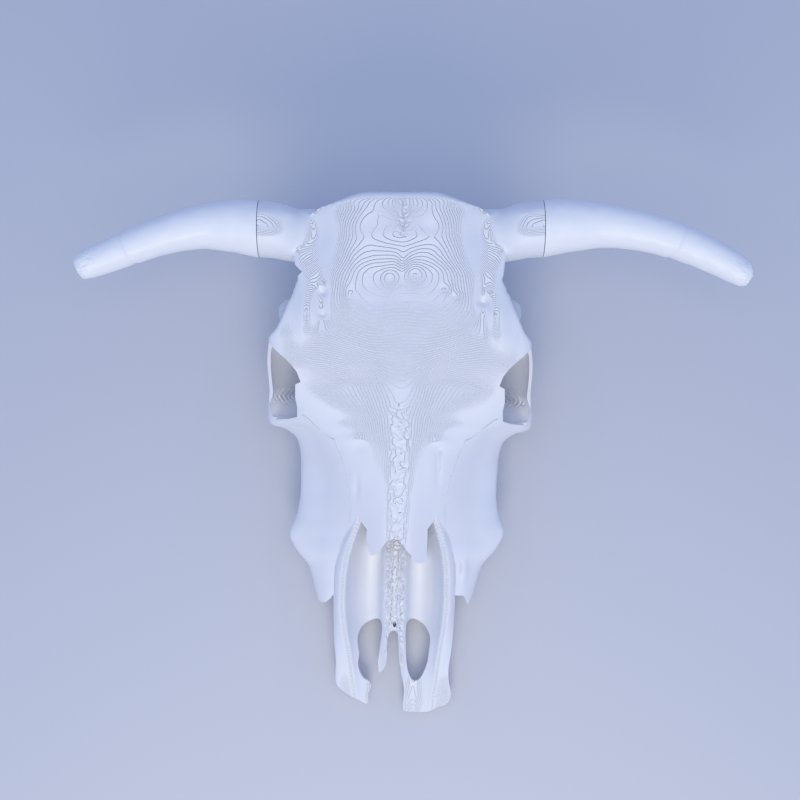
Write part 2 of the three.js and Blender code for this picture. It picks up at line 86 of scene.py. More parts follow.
def smooth_line(places, values):
    """A line through the knots that never swings past them."""
    places, values = np.array(places, float), np.array(values, float)
    steps = np.diff(values) / np.diff(places)
    before = np.concatenate([steps[:1], steps])
    after = np.concatenate([steps, steps[-1:]])
    rises = before * after > 0
    slopes = np.where(rises, 2 * before * after / np.where(rises, before + after, 1), 0)

    def at(place):
        i = np.clip(np.searchsorted(places, place) - 1, 0, len(places) - 2)
        span = places[i + 1] - places[i]
        t = np.clip((place - places[i]) / span, 0, 1)
        rise = t * t * (3 - 2 * t)
        swing = span * (slopes[i] * t * (1 - t) ** 2 - slopes[i + 1] * t * t * (1 - t))
        return values[i] * (1 - rise) + values[i + 1] * rise + swing

    return at


def smooth_table(rows):
    columns = list(zip(*sorted(rows)))
    lines = [smooth_line(columns[0], column) for column in columns[1:]]
    return lambda y: [float(line(y)) for line in lines]


def closed_curve(points, count):
    """Evenly indexed places on a centripetal curve through a closed ring of points."""
    points = np.array(points, float)
    size = len(points)
    made = []
    for i in range(count):
        whole, t = divmod(i * size / count, 1)
        a, b, c, d = (points[(int(whole) + k) % size] for k in (-1, 0, 1, 2))
        ab, bc, cd = (max(np.linalg.norm(q - p) ** 0.5, 1e-4) for p, q in ((a, b), (b, c), (c, d)))
        m1 = ((b - a) / ab - (c - a) / (ab + bc) + (c - b) / bc) * bc
        m2 = ((c - b) / bc - (d - b) / (bc + cd) + (d - c) / cd) * bc
        rise = t * t * (3 - 2 * t)
        made.append(b * (1 - rise) + c * rise + m1 * t * (1 - t) ** 2 - m2 * t * t * (1 - t))
    return np.array(made)


def mirrored_ring(y, half, count):
    outline = list(half) + [(-x, z) for x, z in reversed(half[1:-1])]
    flat = closed_curve(outline, count)
    return [(x, y, z) for x, z in flat]


def face_outwards(obj):
    work = bmesh.new()
    work.from_mesh(obj.data)
    bmesh.ops.triangulate(work, faces=[face for face in work.faces if len(face.verts) > 4])
    bmesh.ops.recalc_face_normals(work, faces=work.faces)
    work.to_mesh(obj.data)
    work.free()


def loft(name, rings):
    """A closed skin over rings of equally many points, with a flat face at each end."""
    size = len(rings[0])
    points = [tuple(point) for ring in rings for point in ring]
    faces = []
    for here in range(0, len(points) - size, size):
        for i in range(size):
            after = (i + 1) % size
            faces.append((here + i, here + after, here + size + after, here + size + i))
    faces.append(tuple(reversed(range(size))))
    faces.append(tuple(range(len(points) - size, len(points))))
    mesh = bpy.data.meshes.new(name)
    mesh.from_pydata(points, [], faces)
    obj = bpy.data.objects.new(name, mesh)
    bpy.context.collection.objects.link(obj)
    face_outwards(obj)
    return obj


body_at = smooth_table(BODY_ROWS)


def body_ring(y):
    crown, *pairs, floor = body_at(y)
    half = [(0, crown), *zip(pairs[0::2], pairs[1::2]), (0, floor)]
    return mirrored_ring(y, half, BODY_RING_POINTS)


body_places = np.linspace(BODY_ROWS[-1][0], BODY_ROWS[0][0], BODY_RINGS)
skull = loft("skull_print", [body_ring(y) for y in body_places])

# ---------------------------------------------------------------------------------------------
# Bars and knobs that grow out of the brain case: the cheekbones behind the eye sockets, the
# stubs for the horn cores, the spikes and capsules at the ears, the joint knobs at the back and
# the wings behind the palate. All are melted into it by remeshing, and so are two soft hollows.
# ---------------------------------------------------------------------------------------------
SEAM_X = {-1: -57.4, 1: 58.2}  # the glue faces of the horn stubs
PAST_SEAM = 2
MELT_VOXEL = 1.0
MELT_ROUNDS = 12
SADDLE = (38, 69)  # between forehead and stub
SADDLE_REACH = (8, 10)
SADDLE_ROUNDS = 90


def bar(name, stations, rings, sides, flatten=1.0):
    """A round bar through (x, y, z, radius) stations."""
    share = np.linspace(0, 1, len(stations))
    lines = [smooth_line(share, [station[k] for station in stations]) for k in range(4)]
    middle = np.array([[line(t) for line in lines] for t in np.linspace(0, 1, rings)])
    along = np.gradient(middle[:, :3], axis=0)
    angles = np.linspace(0, 2 * math.pi, sides, endpoint=False)
    made = []
    for centre, radius, way in zip(middle[:, :3], middle[:, 3], along):
        way = Vector(way).normalized()
        across = Vector((0, 0, 1)).cross(way).normalized()
        up = way.cross(across)
        made.append([
            Vector(centre) + across * radius * math.cos(a) + up * radius * flatten * math.sin(a)
            for a in angles
        ])
    return loft(name, made)


def ball(name, middle, radii, detail=32):
    mesh = bpy.data.meshes.new(name)
    work = bmesh.new()
    bmesh.ops.create_uvsphere(work, u_segments=detail, v_segments=detail // 2, radius=1)
    bmesh.ops.scale(work, vec=radii, verts=work.verts)
    bmesh.ops.translate(work, vec=middle, verts=work.verts)
    work.to_mesh(mesh)
    work.free()
    obj = bpy.data.objects.new(name, mesh)
    bpy.context.collection.objects.link(obj)
    return obj


def keep_result(obj):
    """Makes what the modifiers give the object's own mesh."""
    bpy.context.view_layer.update()
    seen = obj.evaluated_get(bpy.context.evaluated_depsgraph_get())
    mesh = bpy.data.meshes.new_from_object(seen)
    obj.modifiers.clear()
    obj.data = mesh


def combine(target, other, operation):
    """Joins or cuts target with other, which is used up."""
    step = target.modifiers.new("step", "BOOLEAN")
    step.object = other
    step.operation = operation
    step.solver = "MANIFOLD"
    keep_result(target)
    bpy.data.objects.remove(other)


def read_points(obj):
    flat = np.empty(len(obj.data.vertices) * 3)
    obj.data.vertices.foreach_get("co", flat)
    return flat.reshape(-1, 3)


def write_points(obj, points):
    obj.data.vertices.foreach_set("co", points.ravel())
    obj.data.update()


def relax(obj, rounds, weight=None):
    """Moves each point towards the middle of its neighbours and back out, which keeps volume."""
    mesh = obj.data
    edges = np.empty(len(mesh.edges) * 2, dtype=np.int64)
    mesh.edges.foreach_get("vertices", edges)
    a, b = edges.reshape(-1, 2).T
    points = read_points(obj)
    count = np.bincount(a, minlength=len(points)) + np.bincount(b, minlength=len(points))
    hold = np.ones(len(points)) if weight is None else weight
    for _ in range(rounds):
        for pull in (0.5, -0.52):
            total = np.zeros_like(points)
            for k in range(3):
                total[:, k] = np.bincount(a, points[b, k], len(points))
                total[:, k] += np.bincount(b, points[a, k], len(points))
            points += pull * hold[:, None] * (total / count[:, None] - points)
    write_points(obj, points)


def melt(obj, voxel, rounds):
    """Remeshes evenly and relaxes, so that joined forms flow into each other."""
    step = obj.modifiers.new("melt", "REMESH")
    step.mode = "VOXEL"
    step.voxel_size = voxel
    keep_result(obj)
    relax(obj, rounds)


for side in (-1, 1):
    cheekbone = [
        (side * 50.6, 12, -38.5, 4.2),
        (side * 49.4, 24, -39, 3.5),
        (side * 47.2, 31, -41, 2.6),
        (side * 49.4, 36.6, -42.5, 2.9),
        (side * 49, 39.4, -43, 3),
        (side * 42, 42.6, -44.5, 3),
        (side * 25, 51, -47, 5),
    ]
    stub = [
        (side * 18, 65, -15, 12.5),
        (side * 34, 67.1, -16.6, 11.5),
        (side * 44, 67.7, -15.3, 10.8),
        (side * 47.5, 68.5, -14, 11.1),
        (side * 51.5, 69.4, -12.8, 11.4),
        (SEAM_X[side] + side * PAST_SEAM, 70.1, -12.5, 11.6),
    ]
    spike = [(side * 25, 68, -50, 6), (side * 24.5, 66.5, -68, 5), (side * 22, 64, -88, 2.6)]
    wing = [(side * 14, 22, -50, 4), (side * 13.5, 4, -56.5, 4), (side * 17, -14, -52, 5)]
    combine(skull, bar("cheekbone", cheekbone, 40, 24, 1.2), "UNION")
    combine(skull, bar("stub", stub, 40, 48), "UNION")
    combine(skull, bar("spike", spike, 24, 20), "UNION")
    combine(skull, bar("wing", wing, 24, 20, 1.4), "UNION")
    combine(skull, ball("knob", (side * 8.6, 75.5, -66), (6.2, 6.9, 8.9)), "UNION")
    combine(skull, ball("capsule", (side * 19, 53, -61), (5.5, 9, 8)), "UNION")

combine(skull, ball("spinal_opening", (0, 80, -59.5), (7, 16, 6.2)), "DIFFERENCE")
combine(skull, ball("rear_nostrils", (0, 2, -55), (8.5, 17, 8)), "DIFFERENCE")

melt(skull, MELT_VOXEL, MELT_ROUNDS)
points = read_points(skull)
saddle = np.exp(
    -(((np.abs(points[:, 0]) - SADDLE[0]) / SADDLE_REACH[0]) ** 2)
    - ((points[:, 1] - SADDLE[1]) / SADDLE_REACH[1]) ** 2
)
relax(skull, SADDLE_ROUNDS, saddle)

# ---------------------------------------------------------------------------------------------
# Relief of the face: low rises and pits that the flat layers show as contour loops, a crest up
# to the poll, a rough strip down the nasal bones and torn edges at the temples. Each entry is a
# soft hump or dent (x, y, half width, half length, rise) in millimetres.
# ---------------------------------------------------------------------------------------------
RELIEF = [
    # the twin domes of the forehead, the dip between them, and small knolls at their sides
    (-4, 48.4, 3.2, 3.8, 0.55), (6.2, 50.4, 4, 4.4, 0.6), (1.4, 55, 2, 4.5, -0.35),
    (-20.9, 42, 2.4, 4.5, 0.45), (18.6, 44.4, 2.6, 2, 0.4), (22.8, 41.6, 2.4, 2.2, 0.45),
    # low swells beside the crest and under the domes
    (12.5, 69.2, 5.5, 3.2, 0.35), (-13, 69, 8, 5, 0.3), (-12, 30, 9, 6, 0.12), (21, 31, 8, 6, 0.2),
    # the grooves above the brows, with their pits, and the ridges outside them
    (-31.8, 41, 2.6, 9, -1.3), (-31.4, 43.2, 1.3, 1.3, -2), (-31.2, 34.6, 1.4, 1.4, -1.7),
    (-31.9, 47, 1.2, 1.3, 1), (33.6, 40, 2.6, 9, -1.3), (33.6, 39.4, 1.8, 1.5, -2),
    (35.6, 43.8, 1.3, 1.3, 0.9), (37.2, 34.5, 1, 1.4, 0.7), (-38.2, 34.5, 4.2, 9.5, 2.3),
    (39.6, 32.6, 4.4, 9.5, 2.3),
    # the steps at the roots of the nasal bones, and a leaf of bone on the right jaw
    (-19, -15.8, 4.4, 1.5, 0.8), (16.6, -16.6, 3.2, 1.5, 0.8), (-17, -19.5, 3, 2, -0.5),
    (15.5, -20.5, 3, 2.2, -0.5), (29, -71.5, 1.7, 5, 0.9),
    # the temples, the creases beside the nasal bones and the mounds on the horn stubs
    (-34, 67, 6.5, 13, -2.4), (34, 67, 6.5, 13, -2.4), (-17.2, -36, 1.2, 5, -0.6),
    (15.8, -28, 1.2, 7, -0.6), (-54, 75.5, 3.5, 2.5, 0.6), (-44.5, 75.5, 3, 2.5, 0.5),
    (51, 75.2, 4, 2.5, 0.6), (56.5, 77, 3, 2, 0.4),
]
CREST_X = 1.6
CREST_START, CREST_LENGTH = 65.5, 15
CREST_WIDTH, CREST_SPREAD = 2.5, 5.5
CREST_RISE = 2.2
CREST_KNOBS = 0.3
NASAL_STRIP_EDGE = 4.6
NASAL_GRAIN = 0.16
SWELL, GRAIN = 0.1, 0.018  # the unevenness all over the face
TEMPLE = (35, 67)
TEMPLE_REACH = (6, 14)
TEAR = 0.9  # how far the temple edges swing in and out
noise_seed = Vector((31.7, 11.2, 5.9))


def smoothstep(value, low, high):
    t = np.clip((value - low) / (high - low), 0, 1)
    return t * t * (3 - 2 * t)


def roughness_at(points, scale):
    """Smooth random values from -1 to 1 that change over `scale` millimetres."""
    return np.array([noise.noise(Vector(point) / scale + noise_seed) for point in points])


def upward(obj):
    """How far each point of a mesh faces up, faded in from the steep sides."""
    normals = np.empty(len(obj.data.vertices) * 3)
    obj.data.vertices.foreach_get("normal", normals)
    return smoothstep(normals.reshape(-1, 3)[:, 2], 0.35, 0.8)


points = read_points(skull)
facing = upward(skull)
x, y = points[:, 0], points[:, 1]
rise = np.zeros(len(points))
for at_x, at_y, width, length, height in RELIEF:
    rise += height * np.exp(-(((x - at_x) / width) ** 2) - ((y - at_y) / length) ** 2)
climb = np.clip((y - CREST_START) / CREST_LENGTH, 0, 1)
crest = climb * np.exp(-np.abs((x - CREST_X) / (CREST_WIDTH + CREST_SPREAD * climb)) ** 1.3)
knobs_at = np.exp(-(((x - CREST_X) / 2.2) ** 2)) * smoothstep(y, 65, 68)
fine, coarse = roughness_at(points, 1.7), roughness_at(points, 7)
rise += CREST_RISE * crest + CREST_KNOBS * knobs_at * fine
nasal_strip = smoothstep(NASAL_STRIP_EDGE - np.abs(x), 0, 1.2)
nasal_strip = nasal_strip * smoothstep(-y, 0, 5) * smoothstep(y, -64, -58)
rise += NASAL_GRAIN * nasal_strip * fine
temple = np.exp(
    -(((np.abs(x) - TEMPLE[0]) / TEMPLE_REACH[0]) ** 2) - ((y - TEMPLE[1]) / TEMPLE_REACH[1]) ** 2
)
rise += (SWELL * coarse + GRAIN * fine) * (1 - temple)
points[:, 2] += rise * facing
torn = smoothstep(np.abs(x), 38, 41) * smoothstep(y, 38, 43) * smoothstep(-y, -58, -53)
points[:, 0] += TEAR * np.sign(x) * torn * (1 - facing) * roughness_at(points, 2.4)
write_points(skull, points)

# ---------------------------------------------------------------------------------------------
# Eye sockets: each is a notch in the edge of the face, as seen from above, over a round hollow
# with a rippled floor. They are cut after the melting, so that their rims stay as crisp as the
# print has them. A nick in the left temple edge is cut the same way.
# ---------------------------------------------------------------------------------------------
SOCKET_NOTCH = [
    (54.5, 24.6), (50.1, 19.9), (46.8, 17.1), (44, 14.2), (41.9, 11.4), (40.4, 7.3), (42.6, 6.4),
    (42.9, 1), (42.2, -3), (42.6, -7), (46, -7.8), (52, -8.3), (70, -8.6), (70, 24.6),
]
SOCKET_HOLLOW = [  # widest outline, at the height of the lower rim
    (53.6, 22.6), (54.5, 15), (53.9, 7), (53.6, 3), (54.9, -2), (54.3, -6.6), (49.5, -7.4),
    (44, -7), (37, -8), (28, -6), (18, 0), (14, 8), (18, 16), (28, 21), (38, 22.5), (48, 23.6),
]
SOCKET_MIDDLE = (36, 11)
SOCKET_SHALLOWING = 0.5  # towards the nose
SOCKET_ROOF, SOCKET_RIM, SOCKET_FLOOR = -12.5, -30.6, -48
SOCKET_ROOF_ROUNDNESS, SOCKET_FLOOR_ROUNDNESS = 2, 1.35
SOCKET_RINGS, SOCKET_RING_POINTS = 100, 256
RIPPLE_Y = 2  # the ripples point like arrowheads along this line
RIPPLE_BAND = 2.8
RIPPLE_DEPTH = 0.5
TEMPLE_NICK = [(-39.5, 51.8), (-42.7, 55), (-48, 55.5), (-46, 51), (-42.4, 49.4)]
FACE_TOP = 8  # higher than any part of the face


def plate(name, outline, low, high, holes=()):
    """A plate with its outline drawn from above."""
    work = bmesh.new()
    for ring in (outline, *holes):
        corners = [work.verts.new((x, y, low)) for x, y in ring]
        for i, corner in enumerate(corners):
            work.edges.new((corner, corners[(i + 1) % len(corners)]))
    bmesh.ops.triangle_fill(work, use_beauty=True, edges=work.edges[:], use_dissolve=False)
    raised = bmesh.ops.extrude_face_region(work, geom=work.faces[:])["geom"]
    top = [part for part in raised if isinstance(part, bmesh.types.BMVert)]
    bmesh.ops.translate(work, vec=(0, 0, high - low), verts=top)
    bmesh.ops.recalc_face_normals(work, faces=work.faces)
    mesh = bpy.data.meshes.new(name)
    work.to_mesh(mesh)
    work.free()
    obj = bpy.data.objects.new(name, mesh)
    bpy.context.collection.objects.link(obj)
    return obj


def socket_ring(z):
    """The hollow's outline at one height, drawn in towards its roof and its floor."""
    above = z > SOCKET_RIM
    end = SOCKET_ROOF if above else SOCKET_FLOOR
    power = SOCKET_ROOF_ROUNDNESS if above else SOCKET_FLOOR_ROUNDNESS
    share = min(0.999, (z - SOCKET_RIM) / (end - SOCKET_RIM))
    width = (1 - share**power) ** (1 / power)
    middle = Vector(SOCKET_MIDDLE)
    flat = [middle + (Vector(point) - middle) * width for point in SOCKET_HOLLOW]
    return [(x, y, z) for x, y in closed_curve(flat, SOCKET_RING_POINTS)]


turns = np.linspace(0, math.pi, SOCKET_RINGS)
heights = SOCKET_FLOOR + (SOCKET_ROOF - SOCKET_FLOOR) * (1 - np.cos(turns)) / 2
for side in (-1, 1):
    notch = [(side * x, y) for x, y in SOCKET_NOTCH]
    combine(skull, plate("notch", notch, SOCKET_RIM, FACE_TOP), "DIFFERENCE")
    rings = [[(side * x, y, z) for x, y, z in socket_ring(height)] for height in heights]
    hollow = loft("socket", rings)
    points = read_points(hollow)
    along, across = points[:, 1], side * points[:, 0]
    depth = np.maximum(0, SOCKET_RIM - points[:, 2])
    points[:, 2] += depth * SOCKET_SHALLOWING * smoothstep(-along, -8, 4)
    off_line = np.abs(along - RIPPLE_Y)
    band = np.exp(-(((along - RIPPLE_Y) / RIPPLE_BAND) ** 4)) * smoothstep(depth, 2, 5)
    ripples = np.sin(3.6 * across + 2.6 * off_line + 2 * roughness_at(points, 2.5))
    points[:, 2] += RIPPLE_DEPTH * band * ripples
    write_points(hollow, points)
    combine(skull, hollow, "DIFFERENCE")
combine(skull, plate("temple_nick", TEMPLE_NICK, SOCKET_RIM, FACE_TOP), "DIFFERENCE")

# ---------------------------------------------------------------------------------------------
# The opening of the nose: round the tips of the two nasal bones, with a hollow under them that
# narrows towards the forehead.
# ---------------------------------------------------------------------------------------------
NASAL_RIGHT = [
    (16.4, -47.6), (12.6, -52.8), (12.7, -66.4), (11, -66.9), (6.9, -66.4), (6.6, -63.6),
    (4.3, -61), (2.1, -58.2), (1.1, -56.5),
]
NASAL_LEFT = [
    (-0.9, -56.3), (-4, -57.3), (-6.5, -61), (-8.2, -62.7), (-10, -63.7), (-11.5, -61.6),
    (-12.3, -57), (-12.4, -52.8), (-16.4, -47.6),
]
JAW_EDGE = [
    (19.4, -54), (22.1, -59.2), (23.9, -63.8), (25, -68.8), (25.3, -74.6), (25.3, -100),
]
OPENING_FLOOR = -39.5
HOLLOW_ROWS = [  # y, half width, middle height, half height
    (-90, 18, -26, 12), (-56, 12, -24, 10.5), (-42, 9.5, -23.5, 7.5), (-34, 5, -23, 4),
]

opening = [(-x, y) for x, y in JAW_EDGE] + JAW_EDGE[::-1] + NASAL_RIGHT + NASAL_LEFT
combine(skull, plate("nose_opening", opening, OPENING_FLOOR, FACE_TOP), "DIFFERENCE")

hollow_at = smooth_table(HOLLOW_ROWS)
angles = np.linspace(0, 2 * math.pi, 48, endpoint=False)
hollow_rings = []
for y in np.linspace(HOLLOW_ROWS[0][0], HOLLOW_ROWS[-1][0], 40):
    width, middle, height = hollow_at(y)
    hollow_rings.append([(width * math.cos(a), y, middle + height * math.sin(a)) for a in angles])
combine(skull, loft("nose_hollow", hollow_rings), "DIFFERENCE")

# ---------------------------------------------------------------------------------------------
# Front bones of the nose: a trough with a raised crest along each side and two lips on the
# midline, cut to its outline from above. The right slot is closed. The left one has lost its
# front, and its inner bar ends in the open. The jaw beside it is cut to its front ends first.
# ---------------------------------------------------------------------------------------------
NOSE_ROWS = [
    # y, channel, lip, trough, crest x, crest, outer x, bottom
    (-40, -31, -30.4, -34, 13.5, -15.2, 17, -40),
    (-46, -31, -30.2, -34, 15, -15.8, 19, -40),
    (-52, -30.6, -29.6, -34.4, 16.8, -16.4, 21.5, -40),
    (-60, -29.8, -28.4, -36.5, 19.4, -17.4, 25, -42),
    (-66, -29.2, -27.8, -38, 20.8, -18.6, 26.6, -43.5),
    (-74, -29.2, -27.8, -38.6, 21.7, -20.4, 27.2, -44),
    (-84, -29.6, -28.3, -38, 22, -22.4, 26.8, -43.4),
    (-94, -30.6, -29.6, -36.4, 21.3, -24.6, 26, -41),
    (-104, -31, -30.2, -34, 19.8, -26.7, 25.4, -37.5),
    (-112, -31.5, -30.6, -33.4, 18.6, -28.2, 24.9, -36.5),
    (-120, -31.3, -31, -32.8, 17.6, -29.6, 24.8, -35.8),
    (-127, -31.6, -31.4, -33, 16.6, -30.6, 24.8, -35.4),
    (-133, -32.4, -32.4, -33.8, 15.8, -31.8, 24.6, -35.2),
]
NOSE_RINGS, NOSE_RING_POINTS = 140, 180
NOSE_OUTLINE = [
    (-17, -40), (-24, -50), (-26.6, -58), (-26.6, -78), (-25.7, -81), (-25.5, -89), (-25.3, -102),
    (-24.5, -110), (-24.5, -119.7),
    (-19.4, -124.3), (-15, -126.6), (-11.8, -128.5), (-10.9, -127.9), (-11, -124.7), (-9.7, -121),
    (-10.6, -119), (-13.1, -117.4), (-15.2, -112.1), (-14.8, -107.4), (-15.5, -101.5),
    (-14.6, -97.6), (-13, -95.5), (-11, -94.3), (-7.6, -93), (-6, -93.1), (-5.2, -95.6),
    (-6, -104.4), (-6.8, -113.2), (-6.3, -115.3), (-5.4, -114.9), (-3.6, -112.1), (-3, -107.4),
    (-2.7, -100.8), (-1.7, -98.1), (0, -97.3), (1.2, -98.1), (1.8, -101.5), (2.1, -109.9),
    (3.3, -116.7), (4.2, -122.6), (3.7, -129.6), (4.4, -131.8), (6.5, -132.2), (13.9, -131.9),
    (18.5, -129.8), (21.5, -129), (23.6, -126.6), (24, -124), (23.2, -119.7), (22.9, -113.8),
    (24, -105.8), (24.8, -99), (25.4, -89), (25.6, -81), (26.6, -78), (26.6, -58), (24, -50),
    (17, -40),
]
RIGHT_SLOT = [
    (7.6, -93), (5.6, -94), (5, -96.4), (5, -105.7), (5.5, -113), (6.7, -117), (8.4, -118.8),
    (10, -118.6), (11.6, -116.9), (13.9, -111.6), (14.8, -105.7), (15.2, -100.2), (13.5, -96.4),
    (11, -94.3),
]
PIN_HOLE = [
    (0.2 - 0.7 * math.sin(a), -94.7 + 1.3 * math.cos(a))
    for a in np.linspace(0, 2 * math.pi, 16, endpoint=False)
]
LIP_X = 2.9
LIP_WIDTH = 1.5
LIP_GRAIN = 1.3
NOSE_SWELL = 0.1
JAW_END_RIGHT = [
    (20, -82), (25, -81.6), (29.2, -82.2), (30, -84), (30.7, -86), (31.3, -86.3), (31.9, -84.6),
    (33.5, -82), (45, -80), (45, -95), (20, -95),
]
JAW_END_LEFT = [
    (-20, -80.6), (-25.4, -81), (-26.6, -82.8), (-28.4, -84.6), (-30.6, -85.4), (-32.2, -84.4),
    (-33, -81.6), (-34.4, -79), (-45, -78), (-45, -95), (-20, -95),
]
UNDER_JAW = -60
nose_at = smooth_table(NOSE_ROWS)


def nose_ring(y):
    channel, lip, trough, crest_x, crest, outer_x, bottom = nose_at(y)
    half = [
        (0, channel),
        (LIP_X - 1.2, channel),
        (LIP_X, lip),
        (LIP_X + 1.6, lip - 1.2),
        (crest_x * 0.34, trough + 0.12 * (lip - trough)),
        (crest_x * 0.44, trough),
        (crest_x * 0.56, trough + 0.02 * (crest - trough)),
        (crest_x * 0.7, trough + 0.22 * (crest - trough)),
        (crest_x * 0.85, trough + 0.62 * (crest - trough)),
        (crest_x - 1.1, crest - 0.2),
        (crest_x, crest),
        (crest_x + 1.1, crest - 0.3),
        (outer_x, crest + 0.35 * (bottom - crest)),
        (outer_x - 0.6, bottom + 1.5),
        (outer_x * 0.8, bottom),
        (0, bottom + 1),
    ]
    return mirrored_ring(y, half, NOSE_RING_POINTS)


def rounded(outline, per_span=4):
    """A ring of points made smooth between its corners."""
    return [tuple(point) for point in closed_curve(outline, len(outline) * per_span)]


nose_places = np.linspace(NOSE_ROWS[-1][0], NOSE_ROWS[0][0], NOSE_RINGS)
nose = loft("nose", [nose_ring(y) for y in nose_places])
points = read_points(nose)
x, y = points[:, 0], points[:, 1]
lips = np.exp(-(((np.abs(x) - LIP_X) / LIP_WIDTH) ** 2))
lips = lips * smoothstep(-y, 54, 62) * smoothstep(y, -120, -92)
fine = roughness_at(points, 1)
points[:, 2] += (LIP_GRAIN * lips * fine + NOSE_SWELL * roughness_at(points, 4)) * upward(nose)
write_points(nose, points)
for jaw_end in (JAW_END_RIGHT, JAW_END_LEFT):
    combine(skull, plate("jaw_end", jaw_end, UNDER_JAW, FACE_TOP), "DIFFERENCE")
nose_plan = plate("nose_plan", rounded(NOSE_OUTLINE), -50, 0, [rounded(RIGHT_SLOT), PIN_HOLE])
combine(nose, nose_plan, "INTERSECT")
combine(skull, nose, "UNION")

# ---------------------------------------------------------------------------------------------
# Cheek teeth: six in each row, growing towards the back, joined to the jaw and cut level where
# they stand.
# ---------------------------------------------------------------------------------------------
TOOTH_LENGTHS = [7.2, 8.4, 9, 11, 12.2, 13]
TOOTH_GAP = 0.35
TOOTH_WIDTH, TOOTH_WIDENING = 6.6, 2.8
TOOTH_ROW_X, TOOTH_ROW_SPREAD = 25.4, 3.8
TOOTH_ROW_START = -80.5
TOOTH_TOP, TOOTH_FOOT = -41, -70
TOOTH_TURN = 0.06


def tooth(name, side, middle, width, length):
    w, l = width / 2, length / 2
    corners = [
        (-w, -l * 0.8), (-w * 0.8, -l), (w * 0.8, -l), (w, -l * 0.8), (w * 0.86, 0),
        (w, l * 0.8), (w * 0.8, l), (-w * 0.8, l), (-w, l * 0.8), (-w * 0.95, 0),
    ]
    ring = closed_curve(corners, 60)
    cos, sin = math.cos(TOOTH_TURN), math.sin(TOOTH_TURN)
    rings = []
    for z in np.linspace(TOOTH_TOP, TOOTH_FOOT, 12):
        swell = 1 - 0.05 * abs((z + 52) / 14) ** 2
        rings.append([
            (side * (middle[0] + swell * (x * cos + y * sin)), middle[1] + y * cos - x * sin, z)
            for x, y in ring
        ])
    return loft(name, rings)


for side in (-1, 1):
    travelled = 0
    for length in TOOTH_LENGTHS:
        share = (travelled + length / 2) / sum(TOOTH_LENGTHS)
        middle = (
            TOOTH_ROW_X + TOOTH_ROW_SPREAD * share,
            TOOTH_ROW_START + travelled + length / 2,
        )
        width = TOOTH_WIDTH + TOOTH_WIDENING * share
        combine(skull, tooth("tooth", side, middle, width, length - TOOTH_GAP), "UNION")
        travelled += length

# ---------------------------------------------------------------------------------------------
# Bone seams: a fine groove on each side from the eye socket down to the opening of the nose,
# cut by a thin tube that follows the surface.
# ---------------------------------------------------------------------------------------------
SEAM_LINE = [
    (-43, -4.2), (-37.2, -7.8), (-33, -11.6), (-28.5, -15.3), (-26.8, -16.1), (-25.5, -19.4),
    (-23.4, -23.9), (-22, -28.9), (-20.6, -33.9), (-19.6, -39.2), (-19.3, -44.6), (-19.9, -50.4),
]
GROOVE_RADIUS = 0.45
GROOVE_SINK = 0.25  # how far the tube's axis lies under the surface
GROOVE_STATIONS = 6  # for each point of the line
ABOVE_FACE = 50


def groove(name, line, radius):
    """A thin tube whose axis runs just under the skull's surface."""
    face = BVHTree.FromPolygons(
        [vertex.co for vertex in skull.data.vertices],
        [polygon.vertices for polygon in skull.data.polygons],
    )
    share = np.linspace(0, 1, len(line))
    lines = [smooth_line(share, [point[k] for point in line]) for k in range(2)]
    count = len(line) * GROOVE_STATIONS
    stations = []
    for i in range(count):
        t = i / (count - 1)
        x, y = lines[0](t), lines[1](t)
        hit = face.ray_cast(Vector((x, y, ABOVE_FACE)), Vector((0, 0, -1)))[0]
        thinning = math.sin(math.pi / 2 * min(1, max(0.3, min(t, 1 - t) * 9)))
        stations.append((x, y, hit.z - GROOVE_SINK, radius * thinning))
    heights = [stations[0][2]] * 2 + [station[2] for station in stations] + [stations[-1][2]] * 2
    evened = np.convolve(heights, np.ones(5) / 5, "valid")
    stations = [(x, y, z, r) for (x, y, _, r), z in zip(stations, evened)]
    return bar(name, stations, count * 2, 8)


for side in (-1, 1):
    line = [(-side * x, y) for x, y in SEAM_LINE]
    combine(skull, groove("bone_seam", line, GROOVE_RADIUS), "DIFFERENCE")

# ---------------------------------------------------------------------------------------------
# Finishing the skull: flat glue faces at the stubs, and the resting pose. The print lies on its
# cheek teeth and on two spikes behind the ears, so its face slopes down towards the nose. The
# middle of its box is the origin.
# ---------------------------------------------------------------------------------------------
MOST_TRIANGLES = 190000
REST_TILT = math.radians(13)
REST_DROP = 66.8
CENTRE = Vector((5.59, -12.71))
NOSE_LEAN = 2.5  # how far the nose bends to the left
SOCKET_SHIFT = 2.3  # how much nearer to the nose the right eye socket sits
MM = 0.001
SHARP = math.radians(38)
face_to_rest = (
    Matrix.Scale(MM, 4)
    @ Matrix.Translation((-CENTRE.x, -CENTRE.y, REST_DROP))
    @ Matrix.Rotation(REST_TILT, 4, "X")
)


def laid_down(obj):
    """Bends the nose, shifts the right socket and lays a face-up drawing down on the floor."""
    points = read_points(obj)
    x, y = points[:, 0].copy(), points[:, 1].copy()
    beside_socket = smoothstep(x, 20, 50) * smoothstep(y, -45, -15) * smoothstep(-y, -34, -24)
    points[:, 0] -= NOSE_LEAN * smoothstep(-y, 10, 95)
    points[:, 1] -= SOCKET_SHIFT * beside_socket
    write_points(obj, points)
    obj.data.transform(face_to_rest)


def beside_seam(name, seam, way):
    """A block over the horn's root on one side of a glue face."""
    outline = [(seam, 40), (seam + way * 20, 40), (seam + way * 20, 100), (seam, 100)]
    return plate(name, outline, -40, 20)


def thin_out(obj, most):
    """Merges faces where the surface is plainest, down to `most` triangles."""
    count = sum(len(polygon.vertices) - 2 for polygon in obj.data.polygons)
    step = obj.modifiers.new("thin_out", "DECIMATE")
    step.ratio = min(1, most / count)
    keep_result(obj)


def smooth_shaded(obj):
    obj.data.shade_smooth()
    obj.data.set_sharp_from_angle(angle=SHARP)


